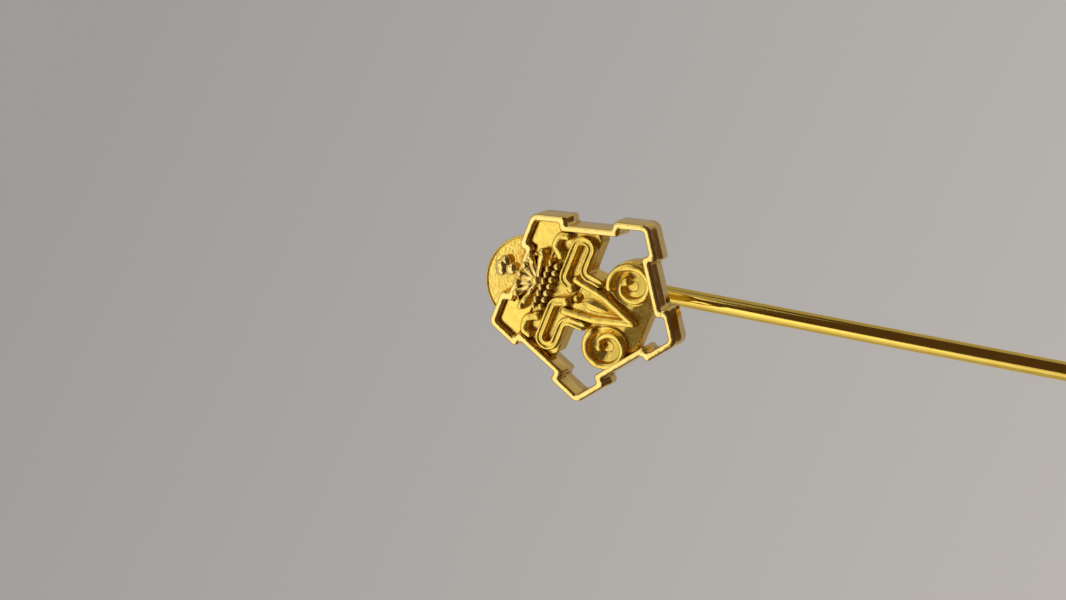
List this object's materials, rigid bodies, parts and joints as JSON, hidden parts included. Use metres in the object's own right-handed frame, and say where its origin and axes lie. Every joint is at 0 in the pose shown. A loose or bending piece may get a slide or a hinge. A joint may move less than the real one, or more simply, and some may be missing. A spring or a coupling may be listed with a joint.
{
  "type": "stick pin",
  "caption": "Stick pin with an openwork five-lobed scroll head on a grained round pad, a bent round stem with a ground point, and a ball-lock clutch over the point.",
  "frame": {"origin": "on the stem's axis, at the top of its straight length, where the bend to the pad begins", "axes": "+Z along the stem, from the point towards the head; the head faces -Y; +X is to the right of the head seen from its front"},
  "size_m": [0.012, 0.0108, 0.0655],
  "materials": {
    "plated_gloss": "bright gold-toned plate, polished",
    "plated_satin": "gold-toned plate, satin relief",
    "plated_ground": "gold-toned plate in the recesses",
    "plated_grain": "gold-toned plate over a grained face",
    "solder": "plated over solder",
    "spring_steel": "drawn spring wire",
    "ball_steel": "polished balls"
  },
  "bodies": {
    "pin": {"border_frame": "plated_gloss", "core_plate": "plated_ground", "field_left": "plated_satin", "field_right": "plated_satin", "side_loop_left": "plated_satin", "side_loop_right": "plated_satin", "shoulder_scroll_left": "plated_satin", "shoulder_scroll_right": "plated_satin", "volute_left": "plated_satin", "volute_right": "plated_satin", "lyre_stem": "plated_satin", "centre_leaf": "plated_satin", "centre_boss": "plated_satin", "crest_block": "plated_ground", "crest_palmette": "plated_satin", "crest_rope": "plated_satin", "crest_beads": "plated_satin", "crest_finial": "plated_satin", "pad_disc": "plated_grain", "pad_solder": "solder", "stem": "plated_gloss", "stem_solder": "solder"},
    "clutch_body": {"clutch_barrel": "plated_gloss", "clutch_ferrule": "plated_gloss", "clutch_cone_ring": "spring_steel", "clutch_end_cap": "plated_gloss", "clutch_spring": "spring_steel"},
    "spring_seat": {"clutch_washer": "spring_steel"},
    "plunger": {"clutch_plunger": "plated_gloss", "clutch_knob": "plated_gloss"},
    "ball_1": {"clutch_ball_1": "ball_steel"},
    "ball_2": {"clutch_ball_2": "ball_steel"},
    "ball_3": {"clutch_ball_3": "ball_steel"}
  },
  "joints": [
    {"name": "clutch_slide", "type": "slide", "parent": "pin", "child": "clutch_body", "axis": [0, 0, -1], "range_m": [0, 0.02]},
    {"name": "release_pull", "type": "slide", "parent": "clutch_body", "child": "spring_seat", "axis": [0, 0, -1], "range_m": [0, 0.0008], "stiffness_N_per_m": 600, "springref_m": -0.0006, "deforming": ["clutch_spring"]},
    {"name": "plunger_spin", "type": "hinge", "parent": "spring_seat", "child": "plunger", "pos_m": [0, 0, -0.05], "axis": [0, 0, 1], "continuous": true},
    {"name": "ball_1_travel", "type": "slide", "parent": "plunger", "child": "ball_1", "axis": [1, 0, 0], "range_m": [0, 0.00018]},
    {"name": "ball_2_travel", "type": "slide", "parent": "plunger", "child": "ball_2", "axis": [-0.5, 0.866, 0], "range_m": [0, 0.00018]},
    {"name": "ball_3_travel", "type": "slide", "parent": "plunger", "child": "ball_3", "axis": [-0.5, -0.866, 0], "range_m": [0, 0.00018]}
  ],
  "couplings": [
    {"joint": "ball_1_travel", "follows": "release_pull", "ratio": 0.2125},
    {"joint": "ball_2_travel", "follows": "release_pull", "ratio": 0.2125},
    {"joint": "ball_3_travel", "follows": "release_pull", "ratio": 0.2125}
  ]
}
